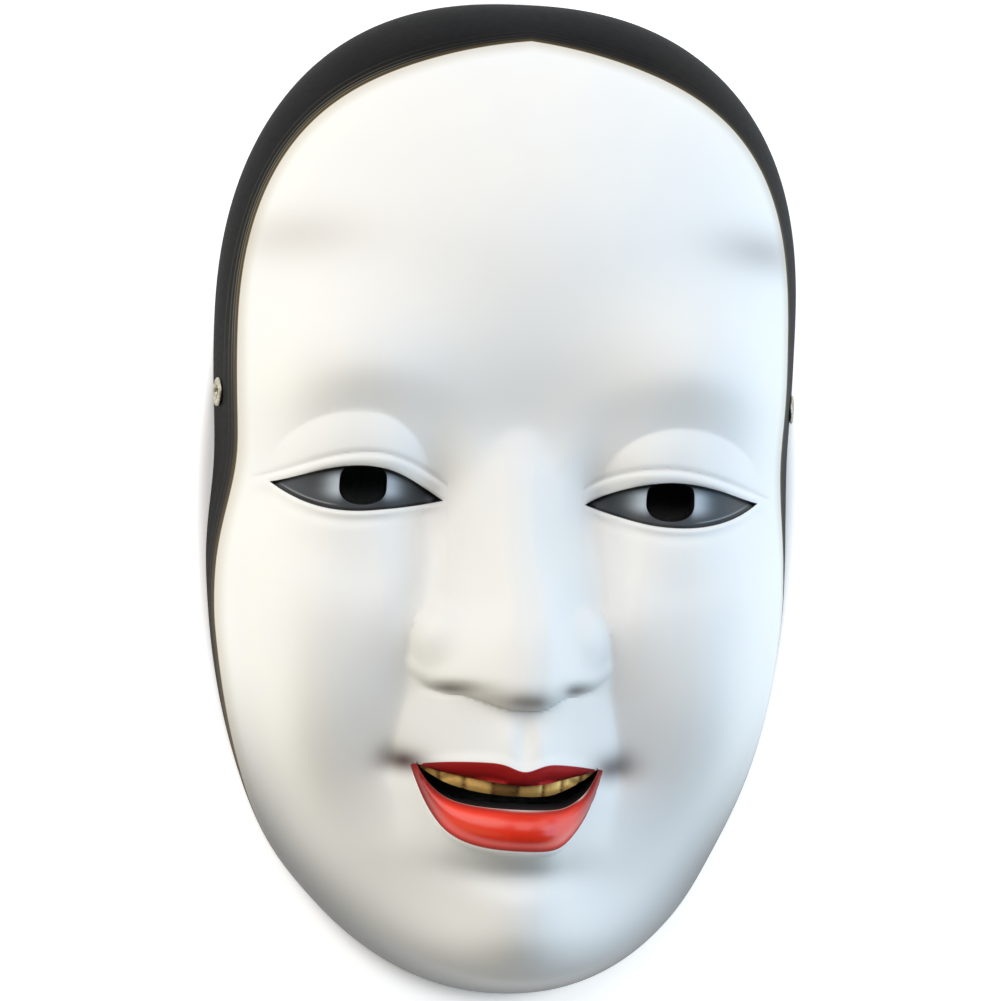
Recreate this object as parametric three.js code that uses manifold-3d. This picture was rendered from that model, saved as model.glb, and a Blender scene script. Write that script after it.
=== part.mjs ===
// A noh mask of a young woman, cast in resin: one hollow shell, and the two
// small brass eyelets its cord would run through.
//
// Millimetres. The mask lies on its rim, face up: +Z is out of the face, +Y is
// the crown, +X is the right-hand side of the mask as it is looked at.
// The relief is set out from the line of the eyes, EYE_LINE, in y.
import * as THREE from 'three';
import { mergeVertices } from 'three/addons/utils/BufferGeometryUtils.js';
import Module from 'manifold-3d';

// Outline of the rim
const EYE_LINE = -1;
const CROWN_Y = 110.6;
const JAW_Y = -109.2;
const HALF_WIDTH = 65;
const UPPER_SHOULDER = 38;
const LOWER_SHOULDER = -7.3;
const UPPER_POWER = 2.4;
const LOWER_POWER = 2.12;
const WAIST_DIP = 0.9;
const CROWN_LEAN = 1.5;
const TEMPLE_LEAN = 0.7;
const JAW_LEAN = 0.4;
const CHIN_LEAN = 4.2;

// The shell
const DEPTH = 52.8;
const WALL = 4.4;
const LEAST_WALL = 4.2;
const HOLLOW_DEPTH = DEPTH - 3.4;
const SKIRT = 3;
const OUTER_COLUMNS = 42;
const OUTER_ROWS = 54;
const HOLLOW_COLUMNS = 22;
const HOLLOW_ROWS = 30;
const UNROLL = 0.35;

// The eyes
const EYE_INNER = 15;
const EYE_OUTER = 52.1;
const EYE_MID = (EYE_INNER + EYE_OUTER) / 2;
const EYE_HALF = (EYE_OUTER - EYE_INNER) / 2;
const EYE_SINK = 1.4;
const SIDE_DROP = 0.9;
const PUPIL_X = 32.2;
const PUPIL_Y = 1.3;
const PUPIL_WIDTH = 10.1;
const PUPIL_HEIGHT = 7.9;
const PUPIL_CORNER = 3.3;

// The mouth
const MOUTH_HALF = 19.6;
const SLOT_HALF = 17.6;
const LIP_STEP = 0.5;
const TEETH_Z = 56.4;
const TEETH_CURVE = 0.013;

// The eyelets
const EYELET_Y = 22.1;
const EYELET_Z = 6.5;
const EYELET_TILT = THREE.MathUtils.degToRad(14);
const BORE_RADIUS = 1.3;
const BARREL_RADIUS = 2.1;
const FLANGE_RADIUS = 3.2;
const FLANGE_THICK = 0.8;
const EYELET_GAP = 0.3;

const OVER = 90;

const lerp = THREE.MathUtils.lerp;
const smooth = (from, to, x) => {
  const t = THREE.MathUtils.clamp((x - from) / (to - from), 0, 1);
  return t * t * (3 - 2 * t);
};
const swell = (x, y, cx, cy, sx, sy) => Math.exp(-(((x - cx) / sx) ** 2) - ((y - cy) / sy) ** 2);
const blendMax = (a, b, k) => Math.max(a, b) + Math.max(k - Math.abs(a - b), 0) ** 2 / (4 * k);
const blendMin = (a, b, k) => -blendMax(-a, -b, k);

function dome(x, y, cx, cy, floor, rx, ry, rise, power) {
  const r = 1 - ((x - cx) / rx) ** 2 - ((y - cy) / ry) ** 2;
  return floor + rise * (r > 0 ? r ** power : 1.5 * r);
}

// How far the parts of the face stand to the right of where they are drawn:
// the rim a little, the eyes and the corners of the mouth less
function lean(x, y) {
  const inner = Math.exp(-((x / 48) ** 6));
  const ends = CROWN_LEAN * smooth(30, 95, y) + CHIN_LEAN * smooth(-66, -125, y);
  const rim = ends + TEMPLE_LEAN * smooth(-18, 10, y) + JAW_LEAN * smooth(-2, -26, y) * (1 - inner);
  const eyes = -1.6 * smooth(28, 8, y) * smooth(-22, -4, y);
  const corners = 0.6 - 2.1 * smooth(3, 14, Math.abs(x)) - 0.7 * smooth(6, 20, -x);
  const mouth = corners * smooth(-8, -26, y) * smooth(-90, -72, y);
  return rim + (eyes + mouth) * inner;
}

// How far the right corner of the mouth hangs, and the left one is raised
const sag = (x, y) => 0.018 * x * Math.exp(-((x / 32) ** 4)) * smooth(-38, -52, y) * smooth(-84, -70, y);

// Half width of the rim at a height of the face
function halfWidth(y) {
  const upper = (y - UPPER_SHOULDER) / (CROWN_Y - UPPER_SHOULDER);
  const lower = (LOWER_SHOULDER - y) / (LOWER_SHOULDER - JAW_Y);
  const t = THREE.MathUtils.clamp(Math.max(upper, lower, 0), 0, 1);
  const power = y > 0 ? UPPER_POWER : LOWER_POWER;
  return HALF_WIDTH * (1 - t ** power) ** (1 / power) - WAIST_DIP * Math.exp(-(((y - 9) / 15) ** 2));
}

// Distance from the middle out to the rim, worked out once all the way round
const RIM_STEPS = 1440;
const rimTable = Array.from({ length: RIM_STEPS + 1 }, (_, i) => {
  const angle = (i / RIM_STEPS) * 2 * Math.PI - Math.PI;
  const c = Math.abs(Math.cos(angle));
  const s = Math.sin(angle);
  let near = 0;
  let far = 130;
  for (let n = 0; n < 28; n++) {
    const mid = (near + far) / 2;
    const y = mid * s;
    if (y < CROWN_Y && y > JAW_Y && mid * c < halfWidth(y)) near = mid;
    else far = mid;
  }
  return near;
});

function rimRadius(angle) {
  const place = ((angle + Math.PI) / (2 * Math.PI)) * RIM_STEPS;
  const i = Math.min(Math.floor(place), RIM_STEPS - 1);
  return lerp(rimTable[i], rimTable[i + 1], place - i);
}

// The plain bowl of the mask, fuller at the jaw and steepest under the chin
function bowl(rho, angle, depth) {
  const s = Math.sin(angle);
  const up = smooth(0, 1, s);
  const jaw = smooth(0.2, 0.9, -s);
  const chin = Math.max(-s, 0) ** 6;
  const n = 2.35 + 0.1 * jaw + 2.6 * chin;
  const m = 1.5 + 0.15 * up + 0.5 * jaw;
  return depth * (1 - Math.min(rho, 1) ** n) ** (1 / m);
}

// Edges of the eye opening, and of the lips, as heights over a half breadth
const eyeU = (ax) => (ax - EYE_MID) / EYE_HALF;
const eyeAxis = (ax) => -0.4 + 0.058 * (ax - EYE_INNER);
const lidTop = (ax) => eyeAxis(ax) + (4.8 - 1.6 * eyeU(ax) - 1.2 * eyeU(ax) ** 2) * (1 - eyeU(ax) ** 2);
const lidLow = (ax) => eyeAxis(ax) - (4.5 + 1.35 * eyeU(ax)) * (1 - eyeU(ax) ** 2);
const lipTop = (ax) => -53.4 - 1.6 * Math.exp(-((ax / 3.4) ** 2)) - 1.9 * (ax / 19.8) ** 3;
const lipEdge = (ax) => -58.2 + 3.6 * (ax / 19.8) ** 1.6;
const teethEdge = (ax) => -60.7 + 5.3 * (ax / 18) ** 2.6;
const gapLow = (ax) => Math.min(-62.5 + 8 * (ax / 18.8) ** 4.8, lipTop(ax) + 0.2);
const lipLow = (ax) => -71 + 16.4 * (ax / 19.9) ** 3.9 - 1.7 * Math.max(1 - (ax / 19.6) ** 2, 0);
const sideDrop = (x) => SIDE_DROP * Math.sign(x) * smooth(13, 30, Math.abs(x));

// Cheeks, brows, sockets, muzzle and chin: soft swellings on the bowl
function softForms(ax, y) {
  let f = 6.5 * swell(ax, y, 38, -23.8, 26, 22.7);
  f -= 6.6 * swell(ax, y, 18.3, -13.5, 5.4, 20);
  f += 12.5 * swell(ax, y, 0, -65.4, 15.8, 30.7);
  f += 12 * swell(ax, y, 0, -98, 30.9, 13.1);
  f -= 3.6 * swell(ax, y, 0, -76.2, 12.5, 4.2);
  f += 1.2 * swell(ax, y, 0, -89, 16, 7);
  f += 6.3 * swell(ax, y, 37.9, 29.1, 18, 13.9);
  f -= 3.9 * swell(ax, y, 32.4, -1.6, 19.5, 10.1);
  f -= 3 * swell(ax, y, 14.5, -0.5, 5, 9);
  f -= 3.9 * swell(ax, y, 0, 12.5, 21.7, 12.8);
  f += 6.6 * swell(ax, y, 0, 63.1, 36.6, 27.6);
  f += 4.2 * swell(ax, y, 47.8, -49.1, 17.4, 16.3);
  f += 6 * swell(ax, y, 47.4, -8.9, 12.9, 45.6);
  f += 2.2 * swell(ax, y, 52.4, 20.7, 9, 14);
  const browLine = 25.6 - 4 * ((ax - 33) / 20) ** 2;
  return f + 0.6 * Math.exp(-(((y - browLine) / 5) ** 2) - ((ax - 33) / 18.9) ** 2);
}

// The fold from the wing of the nose down past the corner of the mouth
function cheekFold(ax, y) {
  const d = ax - (21.4 + 2.4 * smooth(-38, -56, y) - 1.5 * smooth(-57, -68, y));
  const q = Math.sqrt(d * d + 1.5) - Math.sqrt(1.5);
  const valley = Math.exp(-q / (d > 0 ? 9.1 : 4));
  const along = smooth(-22, -42, y) * smooth(-76, -56, y) * Math.exp(-((Math.max(ax - 42, 0) / 12) ** 2));
  return along * (smooth(-1, 16, d) - 3 * valley) - 1.9 * swell(ax, y, 22.6, -55.2, 4.2, 3.6);
}

// The ball of the eye under its lids
function eyeForm(x, y) {
  const v = y + sideDrop(x) - 0.8;
  const reach = 16.2 + 3.6 * smooth(0, -10, v);
  const out = Math.abs(x) - 33.6;
  const r2 = (out / (out > 0 ? 20.5 : 16.5)) ** 2 + (v / reach) ** 2;
  const rise = v / 15.6 / Math.sqrt(r2 + 0.03);
  return 5.5 * THREE.MathUtils.clamp(1 - r2, 0, 1) ** (2.4 - 1.35 * smooth(-0.15, 0.75, rise));
}

// How far the lower lip stands off the face between its edges
function lowerLipRise(ax, y) {
  const within = Math.max(1 - (ax / 20.3) ** 4, 0);
  const low = lipLow(ax);
  const q = (2 * (y - low)) / Math.max(gapLow(ax) - low, 0.5) - 1;
  return 6.4 * within * (q < 0 ? Math.max(1 - Math.abs(q) ** 2.2, 0) ** 0.85 : 1 - 0.45 * q * q);
}

// The nose: a flat crest, plane sides, round wings and a rounded underside
function nose(ax, y, face) {
  const t = blendMin(Math.max((9 - y) / 41, 0), 1.02, 0.18);
  const crest = 50.6 - 0.03 * Math.max(y - 4, 0) ** 2 + 18.1 * t ** 1.12;
  const off = ax - 2.8 - 0.9 * t - 0.6 * smooth(-20, -36, y);
  const roundOff = Math.sqrt(off * off + 1.2 + 14 * smooth(-24, -36, y));
  const side = crest + 0.4 - (0.82 + 0.16 * t) * (off + roundOff) / 2;
  const ridge = side - 0.3 * (1.1 - t) * Math.max(ax - 13, 0) - 2 * Math.max(ax - 22, 0);
  const wing = dome(ax, y, 12.4, -29.2, 47.4, 8.4, 9, 11.2, 0.42);
  const under = -43 + 2.6 * smooth(2, 11.5, ax) + 4.4 * smooth(13, 24, ax);
  const offFoot = (y - under) / (7.8 - 2.2 * smooth(5, 12, ax));
  const arc = Math.sqrt(1 - THREE.MathUtils.clamp(1 - offFoot, 0, 1) ** 3.2);
  return face + (blendMax(ridge, wing, 2.5) - face) * arc - 4 * (1 - arc);
}

// Height of the finished face over the rim, without the openings
function faceHeight(x, y) {
  const angle = Math.atan2(y, x);
  const rho = Math.hypot(x, y) / rimRadius(angle);
  const ax = Math.abs(x);
  let z = bowl(rho, angle, DEPTH) + softForms(ax, y) * smooth(0, 0.09, 1 - rho);
  z += cheekFold(ax, y) + eyeForm(x, y) + 0.7 * swell(ax, y, 0, lipTop(ax), 18, 1.6);
  z = blendMax(z, nose(ax, y, z), 3 - 1.8 * smooth(-16, -26, y));
  z -= 2.4 * swell(ax, y, 12.5, -38.6, 3.6, 1.2);
  return z - 0.9 * swell(ax, y, 0, -49, 1.9, 4.5) + 0.35 * swell(ax, y, 3.4, -49.5, 1.6, 4.5);
}

// The hollow behind the face: a smaller bowl with the same forms, kept off the
// skin, and off the teeth, by the thickness of the wall
function hollowHeight(x, y) {
  const angle = Math.atan2(y, x);
  const rho = Math.hypot(x, y) / (rimRadius(angle) - WALL);
  const ax = Math.abs(x);
  let z = bowl(rho, angle, HOLLOW_DEPTH) + 0.85 * softForms(ax, y) * smooth(0, 0.12, 1 - rho);
  z += 3 * swell(ax, y, 34, 2, 15, 10) + 10 * swell(ax, y, 0, -23, 9, 12);
  let deeper = 0.9 * swell(ax, y, 24, 2, 14, 6) + 1.8 * swell(ax, y, 11, -37, 6, 4);
  deeper -= 0.4 * swell(ax, y, 17, -2, 4, 5);
  const behindSkin = faceHeight(x, y) - LEAST_WALL - deeper;
  const off = Math.max(Math.abs(y + 58.5) - 6, 0) + Math.max(ax - 20.5, 0);
  const behindTeeth = TEETH_Z - TEETH_CURVE * x * x - LEAST_WALL + 2.5 * off;
  return blendMin(blendMin(z, behindSkin, 3), behindTeeth, 2);
}

// A closed block: its top follows a height, its sides follow the rim, drawn in
// by `inset`, and its foot is flat
function reliefBlock(columns, rows, inset, foot, height) {
  const block = new THREE.BoxGeometry(2, 2, 2, columns, rows, 1);
  const p = block.attributes.position;
  for (let i = 0; i < p.count; i++) {
    const tx = p.getX(i);
    const ty = p.getY(i);
    const u = 0.62 * tx + 0.38 * tx ** 3;
    const v = -0.22 * (1 - ty * ty) + 0.62 * ty + 0.38 * ty ** 3;
    const a = u * Math.sqrt(1 - (v * v) / 2);
    const b = v * Math.sqrt(1 - (u * u) / 2);
    const s = Math.min(Math.hypot(a, b), 1);
    const angle = Math.atan2(b * CROWN_Y, a * HALF_WIDTH);
    const rho = s * (1 + UNROLL - UNROLL * s * s);
    const r = rho * (rimRadius(angle) - inset);
    const x = r * Math.cos(angle);
    const y = r * Math.sin(angle);
    p.setXYZ(i, x, y, p.getZ(i) > 0 ? (s > 0.9999 ? 0 : height(x, y)) : foot);
  }
  return block;
}

// A block between two edges drawn over a stretch of x, with a shaped floor and
// a flat or shaped top
function plug(from, to, low, high, floor, top, columns, rows) {
  const level = (form, x, y) => (typeof form === 'number' ? form : form(x, y));
  const block = new THREE.BoxGeometry(1, 1, 1, columns, rows, 1);
  const p = block.attributes.position;
  for (let i = 0; i < p.count; i++) {
    const x = lerp(from, to, p.getX(i) + 0.5);
    const y = lerp(low(x), high(x), p.getY(i) + 0.5);
    p.setXYZ(i, x, y, level(p.getZ(i) > 0 ? top : floor, x, y));
  }
  return block;
}

const wasm = await Module();
wasm.setup();

function toSolid(geometry) {
  const bare = geometry.clone();
  bare.deleteAttribute('normal');
  bare.deleteAttribute('uv');
  const merged = mergeVertices(bare, 1e-4);
  return new wasm.Manifold(
    new wasm.Mesh({
      numProp: 3,
      vertProperties: new Float32Array(merged.attributes.position.array),
      triVerts: new Uint32Array(merged.index.array),
    }),
  );
}

function toMesh(solid, name, material) {
  const out = solid.getMesh();
  const geometry = new THREE.BufferGeometry();
  geometry.setAttribute('position', new THREE.BufferAttribute(new Float32Array(out.vertProperties), 3));
  geometry.setIndex(new THREE.BufferAttribute(new Uint32Array(out.triVerts), 1));
  const p = geometry.attributes.position;
  for (let i = 0; i < p.count; i++) {
    const x = p.getX(i);
    const y = p.getY(i);
    p.setXY(i, x + lean(x, y), y - sag(x, y) + EYE_LINE);
  }
  geometry.computeVertexNormals();
  const mesh = new THREE.Mesh(geometry, material);
  mesh.name = name;
  return mesh;
}

// Where an eyelet sits: the point on the outside of the shell, and its axis
function eyeletFrame(side) {
  const angle = Math.atan2(EYELET_Y, HALF_WIDTH);
  let x = HALF_WIDTH - 8;
  for (let step = 4; step > 1e-3; step /= 2) {
    while (faceHeight(x + step, EYELET_Y) > EYELET_Z && x + step < rimRadius(angle)) x += step;
  }
  const axis = new THREE.Vector3(side * Math.cos(EYELET_TILT), 0, Math.sin(EYELET_TILT));
  const turn = new THREE.Quaternion().setFromUnitVectors(new THREE.Vector3(0, 1, 0), axis);
  const at = new THREE.Vector3(side * x, EYELET_Y, EYELET_Z);
  return new THREE.Matrix4().compose(at, turn, new THREE.Vector3(1, 1, 1));
}

function drill(side) {
  const hole = new THREE.CylinderGeometry(BARREL_RADIUS + EYELET_GAP, BARREL_RADIUS + EYELET_GAP, 24, 24);
  const seat = new THREE.CylinderGeometry(FLANGE_RADIUS + EYELET_GAP, FLANGE_RADIUS + EYELET_GAP, 6, 28);
  seat.translate(0, 3 - FLANGE_THICK / 2, 0);
  const cut = toSolid(hole).add(toSolid(seat));
  return cut.transform(eyeletFrame(side).elements);
}

function eyelet(side) {
  const face = FLANGE_THICK / 2 + EYELET_GAP;
  const back = face - FLANGE_THICK;
  const inner = back - WALL - 0.2;
  const profile = [
    [BORE_RADIUS, inner],
    [BARREL_RADIUS, inner],
    [BARREL_RADIUS, back],
    [FLANGE_RADIUS, back],
    [FLANGE_RADIUS, face - 0.25],
    [FLANGE_RADIUS - 0.3, face],
    [BORE_RADIUS + 0.35, face],
    [BORE_RADIUS, face - 0.35],
    [BORE_RADIUS, inner],
  ].map(([r, h]) => new THREE.Vector2(r, h));
  const ring = new THREE.LatheGeometry(profile, 20);
  return toSolid(ring).transform(eyeletFrame(side).elements);
}

function pupilHole(side) {
  const w = PUPIL_WIDTH / 2 - PUPIL_CORNER;
  const h = PUPIL_HEIGHT / 2 - PUPIL_CORNER;
  const outline = new THREE.Shape();
  outline.absarc(w, h, PUPIL_CORNER, 0, Math.PI / 2);
  outline.absarc(-w, h, PUPIL_CORNER, Math.PI / 2, Math.PI);
  outline.absarc(-w, -h, PUPIL_CORNER, Math.PI, 1.5 * Math.PI);
  outline.absarc(w, -h, PUPIL_CORNER, 1.5 * Math.PI, 2 * Math.PI);
  const bar = new THREE.ExtrudeGeometry(outline, { depth: OVER, bevelEnabled: false, curveSegments: 6 });
  bar.translate(side * PUPIL_X, PUPIL_Y - sideDrop(side * PUPIL_X), 1);
  return toSolid(bar);
}

// The eye opening is sunk a little under its lids
function eyeSink(side) {
  const edge = 0.35;
  const from = side > 0 ? EYE_INNER + edge : -EYE_OUTER + edge;
  const to = side > 0 ? EYE_OUTER - edge : -EYE_INNER - edge;
  const low = (x) => lidLow(Math.abs(x)) - sideDrop(x);
  const high = (x) => lidTop(Math.abs(x)) - sideDrop(x);
  const floor = (x, y) => faceHeight(x, y) - EYE_SINK;
  return toSolid(plug(from, to, low, high, floor, OVER, 18, 3));
}

// The red of the upper lip rolls back from its border to the teeth
function upperLipCut() {
  const reach = MOUTH_HALF - 0.8;
  const floor = (x, y) => faceHeight(x, y) - 0.3 * (lipTop(Math.abs(x)) + 0.15 - y) ** 2;
  const low = (x) => lipEdge(Math.abs(x)) - 0.02;
  return toSolid(plug(-reach, reach, low, (x) => lipTop(Math.abs(x)), floor, OVER, 24, 3));
}

function lowerLip() {
  const reach = MOUTH_HALF - 0.6;
  const low = (x) => lipLow(Math.abs(x));
  const high = (x) => gapLow(Math.abs(x));
  const top = (x, y) => faceHeight(x, y) + LIP_STEP + lowerLipRise(Math.abs(x), y);
  const under = (x, y) => faceHeight(x, y) - 2;
  return toSolid(plug(-reach, reach, low, high, under, top, 24, 5));
}

const teethFloor = (x) => TEETH_Z - TEETH_CURVE * x * x;
const mouthFoot = (x) => gapLow(Math.abs(x));
const mouthSink = () => {
  const reach = MOUTH_HALF - 0.8;
  return toSolid(plug(-reach, reach, mouthFoot, (x) => lipEdge(Math.abs(x)), teethFloor, OVER, 24, 2));
};
const mouthSlot = () => {
  const reach = SLOT_HALF;
  return toSolid(plug(-reach, reach, mouthFoot, (x) => teethEdge(Math.abs(x)), 5, OVER, 20, 1));
};

const resin = new THREE.MeshStandardMaterial({ color: 0xeeece4, roughness: 0.42, metalness: 0 });
const brass = new THREE.MeshStandardMaterial({ color: 0xb08d4a, roughness: 0.35, metalness: 1 });

const outer = toSolid(reliefBlock(OUTER_COLUMNS, OUTER_ROWS, 0, -SKIRT, faceHeight));
const hollow = toSolid(reliefBlock(HOLLOW_COLUMNS, HOLLOW_ROWS, WALL, -2 * SKIRT, hollowHeight));
let shell = outer.subtract(hollow);
for (const side of [-1, 1]) {
  shell = shell.subtract(eyeSink(side));
  shell = shell.subtract(pupilHole(side));
  shell = shell.subtract(drill(side));
}
shell = shell.subtract(upperLipCut()).add(lowerLip());
shell = shell.subtract(mouthSink()).subtract(mouthSlot());
shell = shell.trimByPlane([0, 0, 1], 0);

const mask = new THREE.Group();
mask.name = 'noh_mask';
mask.add(toMesh(shell, 'mask_shell', resin));
mask.add(toMesh(eyelet(-1), 'eyelet_left', brass));
mask.add(toMesh(eyelet(1), 'eyelet_right', brass));

export default mask;
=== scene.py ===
import math

import bmesh
import bpy
import numpy as np
from mathutils import Matrix, Vector
from mathutils.geometry import delaunay_2d_cdt
from mathutils.kdtree import KDTree


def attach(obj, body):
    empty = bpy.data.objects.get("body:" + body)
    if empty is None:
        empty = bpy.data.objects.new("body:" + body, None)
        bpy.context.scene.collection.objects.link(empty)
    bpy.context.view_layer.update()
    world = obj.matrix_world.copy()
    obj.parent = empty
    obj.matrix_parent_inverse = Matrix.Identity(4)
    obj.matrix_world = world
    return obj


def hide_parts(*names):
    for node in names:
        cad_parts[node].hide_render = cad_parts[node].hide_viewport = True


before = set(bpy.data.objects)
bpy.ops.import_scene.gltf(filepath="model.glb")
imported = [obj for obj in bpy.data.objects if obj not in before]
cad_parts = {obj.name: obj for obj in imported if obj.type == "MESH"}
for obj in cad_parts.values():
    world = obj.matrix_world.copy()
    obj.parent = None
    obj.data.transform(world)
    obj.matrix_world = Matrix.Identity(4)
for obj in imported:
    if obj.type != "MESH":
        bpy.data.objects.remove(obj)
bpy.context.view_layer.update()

# The mask shell: one hollow casting in resin, sanded and painted white, that
# copies a carved mask. The face is worked out in millimetres as a height over
# the rim, from soft swellings; x is across, y is up from the line of the eyes.
EYE_LINE = -1.0        # place of the line of the eyes in the mask's own frame
CROWN_Y, JAW_Y, HALF_WIDTH = 110.6, -109.2, 65.0
UPPER_SHOULDER, LOWER_SHOULDER = 38.0, -7.3        # the sides run straight between them
UPPER_POWER, LOWER_POWER, WAIST_DIP = 2.40, 2.12, 0.9
CROWN_LEAN, TEMPLE_LEAN, JAW_LEAN, CHIN_LEAN = 1.5, 0.7, 0.4, 4.2         # to the right
EYES_LEAN, SIDE_DROP, MOUTH_SAG = -1.6, 0.9, 0.018
DEPTH, WALL, LEAST_WALL, HOLLOW_DEPTH = 52.8, 4.4, 4.2, 49.4
EYE_INNER, EYE_OUTER = 15.0, 52.1
EYE_MID, EYE_HALF = (EYE_INNER + EYE_OUTER) / 2, (EYE_OUTER - EYE_INNER) / 2
PUPIL_X, PUPIL_Y, PUPIL_HALF_W = 32.2, 1.2, 5.05
PUPIL_OVER, PUPIL_UNDER = 4.15, 3.75               # reach of a pupil above and below its middle
OVER_POWER, UNDER_POWER = 4, 2.3                   # how square it is above and below
MOUTH_HALF, SLOT_HALF = 19.6, 18.3
TEETH_Z, TEETH_CURVE = 56.4, 0.013
TOOTH_GAPS = (-18.4, -14.2, -10.0, -5.4, -0.6, 4.8, 10.1, 14.8, 18.4)
EDGE = 0.12            # breadth of a carved step, between its two edges
SHARP_FROM = math.radians(48)                      # a fold steeper than this shows as an edge


def smooth(low, high, x):
    """From nought at low to one at high, softly; low may be the larger."""
    t = np.clip((x - low) / (high - low), 0, 1)
    return t * t * (3 - 2 * t)


def swell(x, y, cx, cy, sx, sy):
    """A round swelling of height one at cx, cy, spread sx across and sy up."""
    return np.exp(-((x - cx) / sx) ** 2 - ((y - cy) / sy) ** 2)


def ridge_line(d, width):
    """A long low ridge of height one, where d is the distance from its line."""
    return np.exp(-(d / width) ** 2)


def blend_max(a, b, k):
    """The higher of two surfaces, with the crease between them filled softly."""
    return np.maximum(a, b) + np.maximum(k - np.abs(a - b), 0) ** 2 / (4 * k)


def blend_min(a, b, k):
    """The lower of two surfaces, blended in the same way."""
    return -blend_max(-a, -b, k)


def half_width(y):
    """Half the breadth of the rim at a height on the face."""
    upper = (y - UPPER_SHOULDER) / (CROWN_Y - UPPER_SHOULDER)
    lower = (LOWER_SHOULDER - y) / (LOWER_SHOULDER - JAW_Y)
    t = np.clip(np.maximum(upper, lower), 0, 1)
    power = np.where(y > 0, UPPER_POWER, LOWER_POWER)
    return HALF_WIDTH * (1 - t ** power) ** (1 / power) - WAIST_DIP * np.exp(-((y - 9) / 15) ** 2)


# The rim as a distance from the middle in each direction, found by halving
RIM_ANGLES = np.linspace(-np.pi, np.pi, 2881)
HALVINGS = 36
near, far = np.zeros_like(RIM_ANGLES), np.full_like(RIM_ANGLES, 2 * HALF_WIDTH)
for _ in range(HALVINGS):
    mid = (near + far) / 2
    rim_x, rim_y = np.abs(mid * np.cos(RIM_ANGLES)), mid * np.sin(RIM_ANGLES)
    inside = (rim_x < half_width(rim_y)) & (rim_y < CROWN_Y) & (rim_y > JAW_Y)
    near, far = np.where(inside, mid, near), np.where(inside, far, mid)
RIM_RADII = near


def rim_radius(angle):
    """Distance from the middle of the mask to its rim in a direction."""
    return np.interp(angle, RIM_ANGLES, RIM_RADII)


def bowl(rho, angle, depth):
    """The bowl that carries the face: rho is nought in the middle, one at the rim."""
    s = np.sin(angle)
    up, jaw, chin = smooth(0, 1, s), smooth(0.2, 0.9, -s), np.maximum(-s, 0) ** 6
    n = 2.35 + 0.1 * jaw + 2.6 * chin
    m = 1.5 + 0.15 * up + 0.5 * jaw
    return depth * (1 - np.clip(rho, 0, 1) ** n) ** (1 / m)


def side_drop(x):
    """The eye on the right sits a little lower, the one on the left higher.

    v below is the height over an eye's own line: y with this added.
    """
    return SIDE_DROP * np.sign(x) * smooth(13, 30, np.abs(x))


def lean(x, y):
    """How far each part of the face and the rim stands to the right of the middle line."""
    inner = np.exp(-(x / 48) ** 6)
    rim = CROWN_LEAN * smooth(30, 95, y) + CHIN_LEAN * smooth(-66, -125, y)
    rim = rim + TEMPLE_LEAN * smooth(-18, 10, y) + JAW_LEAN * smooth(-2, -26, y) * (1 - inner)
    eyes = EYES_LEAN * smooth(28, 8, y) * smooth(-22, -4, y)
    mouth = 0.6 - 2.1 * smooth(3, 14, np.abs(x)) - 0.7 * smooth(6, 20, -x)
    mouth = mouth * smooth(-8, -26, y) * smooth(-90, -72, y)
    return rim + (eyes + mouth) * inner


def sag(x, y):
    """How far the right corner of the mouth hangs; the left one is raised as much."""
    return MOUTH_SAG * x * np.exp(-(x / 32) ** 4) * smooth(-38, -52, y) * smooth(-84, -70, y)


# The carved lines, as heights over ax, the distance from the middle of the face
def eye_axis(ax):
    """The line from corner to corner of an eye, rising outwards."""
    return -0.4 + 0.058 * (ax - EYE_INNER)


def lid_top(ax):
    """Edge of the upper lid."""
    u = (ax - EYE_MID) / EYE_HALF
    return eye_axis(ax) + (4.8 - 1.6 * u - 1.2 * u * u) * (1 - u * u)


def lid_low(ax):
    """Edge of the lower lid."""
    u = (ax - EYE_MID) / EYE_HALF
    return eye_axis(ax) - (4.5 + 1.35 * u) * (1 - u * u)


def lid_crease(ax):
    """The groove carved over the upper lid."""
    u = (ax - 34.6) / 19.9
    return 3.25 + (4.9 - 2.2 * u - 0.8 * u * u) * (1 - u * u)


def lip_top(ax):
    """Upper edge of the upper lip, with the dip of the cupid's bow."""
    return -53.4 - 1.6 * np.exp(-(ax / 3.4) ** 2) - 1.9 * (ax / 19.8) ** 3


def lip_edge(ax):
    """Lower edge of the upper lip, over the teeth."""
    return -58.2 + 3.6 * (ax / 19.8) ** 1.6


def teeth_edge(ax):
    """Lower edge of the teeth, over the slot."""
    return -60.7 + 5.3 * (ax / 18) ** 2.6


def gap_low(ax):
    """Upper edge of the lower lip, under the slot."""
    return np.minimum(-62.5 + 8 * (ax / 18.8) ** 4.8, lip_top(ax) + 0.2)


def lip_low(ax):
    """Lower edge of the lower lip."""
    return -71 + 16.4 * (ax / 19.9) ** 3.9


def bow(curve, ax, y, step=0.05):
    """Distance from a curve, positive above it."""
    slope = (curve(ax + step) - curve(np.maximum(ax - step, 0))) / (step + np.minimum(ax, step))
    return (y - curve(ax)) / np.sqrt(1 + slope ** 2)


def eye_distance(x, y):
    """Distance from the edge of the eye opening, negative inside it."""
    ax, v = np.abs(x), y + side_drop(x)
    beyond = np.maximum(EYE_INNER - ax, ax - EYE_OUTER)
    ax = np.clip(ax, EYE_INNER, EYE_OUTER)
    d = np.maximum(bow(lid_top, ax, v), -bow(lid_low, ax, v))
    return np.where(beyond > 0, np.hypot(beyond, v - eye_axis(ax)), d)


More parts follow.
